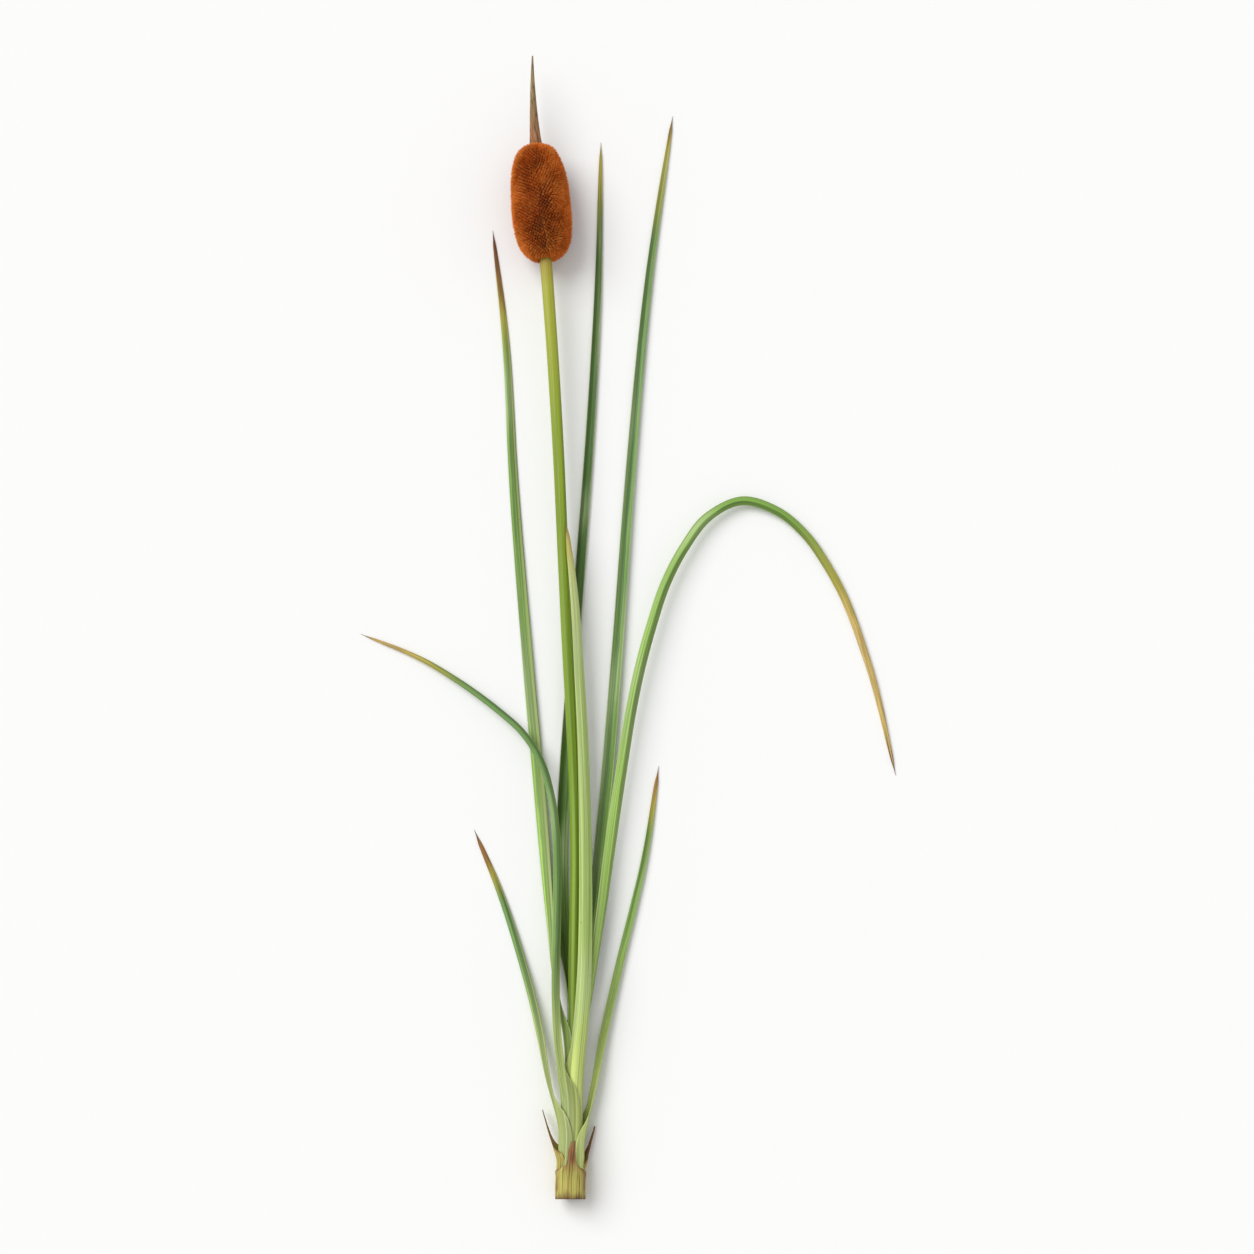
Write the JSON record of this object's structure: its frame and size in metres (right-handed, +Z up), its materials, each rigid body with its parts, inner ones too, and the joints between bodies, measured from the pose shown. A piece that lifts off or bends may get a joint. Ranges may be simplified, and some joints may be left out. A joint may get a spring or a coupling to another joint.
{
  "type": "cattail stalk",
  "caption": "Flowering stalk of a dwarf cattail lying on its side: velvety brown seed spike with a bare spire, smooth green stem, and strap leaves sheathing the foot.",
  "frame": {"origin": "middle of what the lying stalk covers, on the surface that it rests on", "axes": "+Y along the stalk from the cut foot to the tip of the spire, +X to the right, +Z up from the surface"},
  "size_m": [0.1684, 0.364, 0.0192],
  "materials": {
    "stem_green": "smooth, satin, living green stem",
    "seed_brown": "velvety, matte, tight radial bristles",
    "spire_dry": "dry, rough, matte",
    "leaf_green": "satin, finely ribbed along its length, pale at the foot",
    "husk_tan": "dry, papery, matte"
  },
  "bodies": {
    "root": {"stem": "stem_green", "female_spike": "seed_brown", "male_spire": "spire_dry", "leaf_back": "leaf_green", "leaf_right_long": "leaf_green", "leaf_left_long": "leaf_green", "leaf_right_arching": "leaf_green", "leaf_front": "leaf_green", "leaf_left_arching": "leaf_green", "leaf_left_short": "leaf_green", "leaf_right_short": "leaf_green", "husk_left": "husk_tan", "husk_right": "husk_tan", "husk_front": "husk_tan"}
  },
  "joints": []
}
